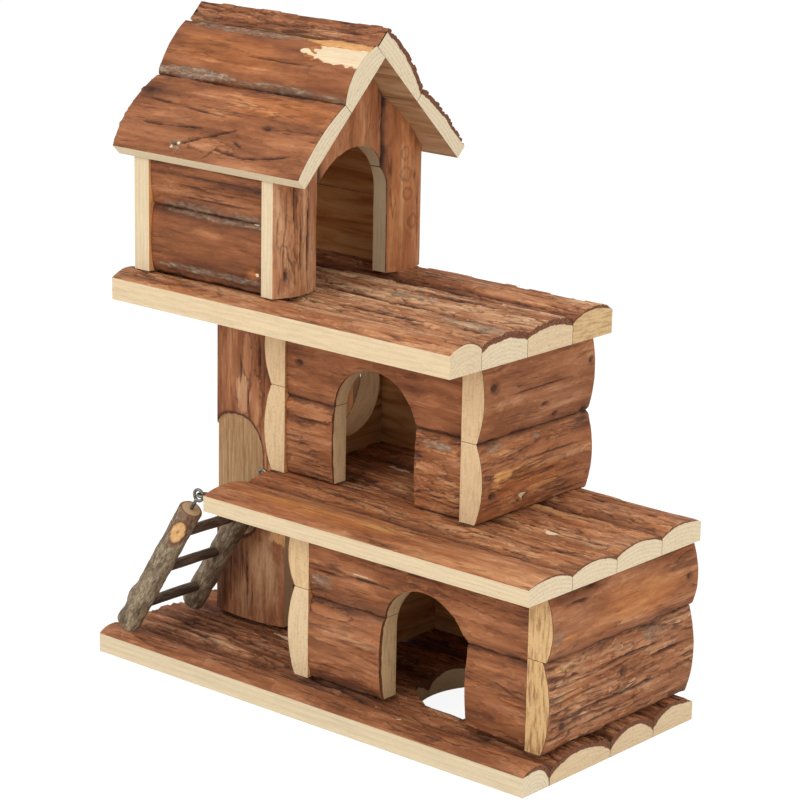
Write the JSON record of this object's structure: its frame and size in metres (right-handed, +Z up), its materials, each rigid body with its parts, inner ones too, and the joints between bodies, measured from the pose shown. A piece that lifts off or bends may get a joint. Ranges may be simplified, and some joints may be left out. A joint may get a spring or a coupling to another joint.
{
  "type": "hamster house",
  "caption": "Stepped hamster house of bark-covered wood slabs: ground room, middle room and gabled top house on their boards, with a hinged ladder.",
  "frame": {"origin": "middle of the base board's underside, on the surface that the house stands on", "axes": "+Z up, +X along the house away from the ladder, +Y from the front with the doors to the back"},
  "size_m": [0.25, 0.12, 0.2962],
  "materials": {
    "bark_slab": "conifer bark, sawn back",
    "branch_wood": "thin grey bark",
    "twig_wood": "dark twig bark",
    "zinc_plated_wire": "zinc-plated wire, dulled",
    "brad_steel": "bright wire"
  },
  "bodies": {
    "house": {"base_brads": "brad_steel", "base_slab_1": "bark_slab", "base_slab_2": "bark_slab", "base_slab_3_left": "bark_slab", "base_slab_3_right": "bark_slab", "base_slab_4": "bark_slab", "board_screw_eyes": "zinc_plated_wire", "ground_front_wall_lower_left": "bark_slab", "ground_front_wall_lower_right": "bark_slab", "ground_front_wall_upper": "bark_slab", "ground_left_wall_lower": "bark_slab", "ground_left_wall_upper": "bark_slab", "ground_rear_wall_lower": "bark_slab", "ground_rear_wall_upper": "bark_slab", "ground_right_wall_lower": "bark_slab", "ground_right_wall_upper": "bark_slab", "house_front_wall_lower": "bark_slab", "house_front_wall_upper": "bark_slab", "house_rear_wall_lower": "bark_slab", "house_rear_wall_upper": "bark_slab", "left_gable_front": "bark_slab", "left_gable_middle": "bark_slab", "left_gable_rear": "bark_slab", "mid_brads": "brad_steel", "mid_front_wall_lower_left": "bark_slab", "mid_front_wall_lower_right": "bark_slab", "mid_front_wall_upper": "bark_slab", "mid_left_wall_lower": "bark_slab", "mid_left_wall_upper": "bark_slab", "mid_rear_wall_lower": "bark_slab", "mid_rear_wall_upper": "bark_slab", "mid_right_wall_lower": "bark_slab", "mid_right_wall_upper": "bark_slab", "mid_slab_1": "bark_slab", "mid_slab_2": "bark_slab", "mid_slab_3": "bark_slab", "mid_slab_4": "bark_slab", "right_gable_front": "bark_slab", "right_gable_middle": "bark_slab", "right_gable_rear": "bark_slab", "roof_front_lower": "bark_slab", "roof_front_upper": "bark_slab", "roof_rear_lower": "bark_slab", "roof_rear_upper": "bark_slab", "support_slab_front": "bark_slab", "support_slab_rear": "bark_slab", "top_brads": "brad_steel", "top_slab_1": "bark_slab", "top_slab_2": "bark_slab", "top_slab_3": "bark_slab", "top_slab_4": "bark_slab"},
    "ladder": {"ladder_rail_front": "branch_wood", "ladder_rail_rear": "branch_wood", "ladder_rung_1": "twig_wood", "ladder_rung_2": "twig_wood", "ladder_rung_3": "twig_wood", "ladder_screw_eyes": "zinc_plated_wire"}
  },
  "joints": [
    {"name": "ladder_swing", "type": "hinge", "parent": "house", "child": "ladder", "pos_m": [-0.0667, 0, 0.0876], "axis": [0, 1, 0], "range_deg": [0, 118]}
  ]
}
